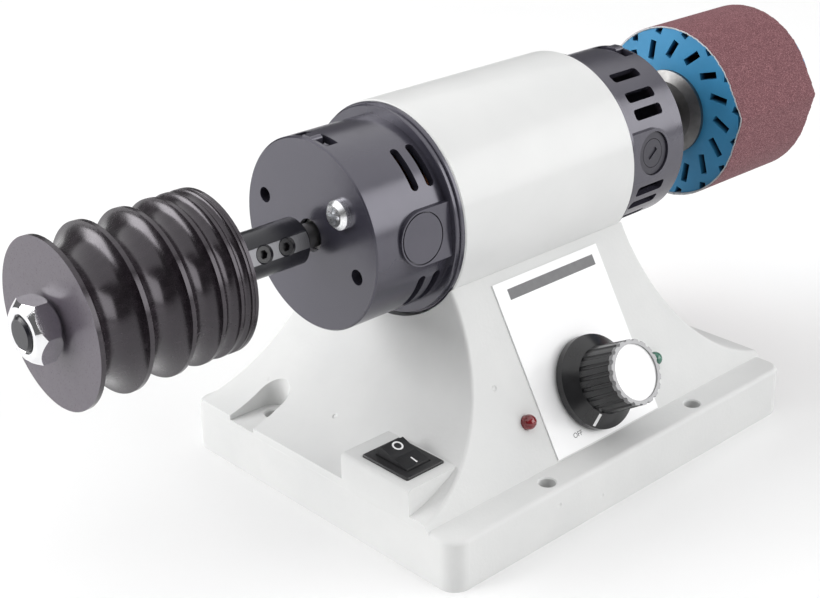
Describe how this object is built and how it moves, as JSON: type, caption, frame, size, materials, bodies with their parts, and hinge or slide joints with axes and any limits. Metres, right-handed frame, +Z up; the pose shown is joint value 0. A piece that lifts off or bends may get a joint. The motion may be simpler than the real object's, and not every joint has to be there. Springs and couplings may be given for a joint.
{
  "type": "leather polishing machine",
  "caption": "Bench machine for leather edges: cast base with speed knob and rocker switch, double-ended motor, grooved polishing wheel on the left and sanding drum with belt on the right.",
  "frame": {"origin": "centre of the base's underside, on the bench plane", "axes": "+X along the spindle towards the sanding drum, -Y towards the control panel, +Z up"},
  "size_m": [0.3322, 0.1366, 0.1271],
  "materials": {
    "casting_paint": "off-white paint on a fine cast texture",
    "sleeve_paint": "smooth satin off-white paint",
    "zinc_sheet": "zinc plated sheet",
    "zinc_screw": "zinc plated",
    "bright_screw": "bright zinc",
    "dark_steel": "blackened steel",
    "cap_black": "satin black",
    "black_nylon": "moulded",
    "lamination": "stacked sheet steel",
    "coil_copper": "lacquered copper wire",
    "bar_copper": "turned copper",
    "brass": "plain brass",
    "carbon": "pressed carbon",
    "spring_steel": "drawn wire",
    "bearing_steel": "polished",
    "panel_white": "printed white sheet",
    "lamp_red": "tinted epoxy",
    "lamp_green": "tinted epoxy",
    "switch_black": "satin moulded",
    "board_green": "solder mask",
    "board_green_block": "moulded",
    "sink_aluminium": "extruded",
    "component_black": "moulded",
    "component_yellow": "moulded",
    "ground_steel": "ground",
    "black_oxide": "black oxide",
    "wheel_dark": "turned and polished dark hardwood",
    "chrome_nut": "bright plating",
    "drum_blue": "moulded blue rubber",
    "belt_cloth": "red-brown abrasive grain on cloth",
    "knob_black": "moulded, fluted",
    "knob_silver": "spun disc"
  },
  "bodies": {
    "frame": {"base_casting": "casting_paint", "bottom_cover": "zinc_sheet", "bottom_cover_screws": "zinc_screw", "cord_bushing": "black_nylon", "motor_sleeve": "sleeve_paint", "left_end_cap": "cap_black", "right_end_cap": "cap_black", "pad_plugs": "cap_black", "long_bolts": "dark_steel", "mount_screws": "zinc_screw", "bearing_retainer": "zinc_sheet", "retainer_screws": "bright_screw", "stator_core": "lamination", "field_coils": "coil_copper", "brush_holders": "black_nylon", "carbon_brushes": "carbon", "brush_springs": "spring_steel", "brush_caps": "black_nylon", "left_bearing_outer": "bearing_steel", "right_bearing_outer": "bearing_steel", "bearing_shields": "bearing_steel", "panel_plate": "panel_white", "potentiometer_body": "zinc_sheet", "potentiometer_nut": "bright_screw", "red_lamp": "lamp_red", "green_lamp": "lamp_green", "switch_housing": "switch_black", "switch_terminals": "brass", "control_board": "board_green", "board_standoffs": "brass", "board_screws": "zinc_screw", "heat_sink": "sink_aluminium", "triac": "component_black", "capacitor": "component_yellow", "choke": "coil_copper", "terminal_strip": "board_green_block"},
    "spindle": {"motor_shaft": "ground_steel", "armature_core": "lamination", "armature_windings": "coil_copper", "commutator": "bar_copper", "cooling_fan": "black_nylon", "left_bearing_inner": "bearing_steel", "right_bearing_inner": "bearing_steel", "left_adapter": "black_oxide", "left_set_screws": "black_oxide", "polishing_wheel": "wheel_dark", "wheel_nut": "chrome_nut", "right_adapter": "ground_steel", "right_set_screws": "black_oxide", "sanding_drum": "drum_blue", "sanding_belt": "belt_cloth", "drum_washer": "zinc_sheet", "drum_nut": "chrome_nut"},
    "ball_sets": {"bearing_balls": "bearing_steel", "bearing_cages": "zinc_sheet"},
    "knob": {"speed_knob": "knob_black", "knob_cap": "knob_silver", "potentiometer_shaft": "ground_steel"},
    "rocker": {"switch_rocker": "switch_black"}
  },
  "joints": [
    {"name": "spindle_spin", "type": "hinge", "parent": "frame", "child": "spindle", "pos_m": [0, 0.0074, 0.0919], "axis": [1, 0, 0], "continuous": true},
    {"name": "ball_sets_spin", "type": "hinge", "parent": "frame", "child": "ball_sets", "pos_m": [0, 0.0074, 0.0919], "axis": [1, 0, 0], "continuous": true},
    {"name": "knob_turn", "type": "hinge", "parent": "frame", "child": "knob", "pos_m": [0, -0.04475, 0.03335], "axis": [0, 0.866, -0.5], "range_deg": [0, 290]},
    {"name": "rocker_tilt", "type": "hinge", "parent": "frame", "child": "rocker", "pos_m": [-0.0714, -0.0315, 0.0277], "axis": [-1, 0, 0], "range_deg": [0, 29]}
  ],
  "couplings": [
    {"joint": "ball_sets_spin", "follows": "spindle_spin", "ratio": 0.36778}
  ]
}
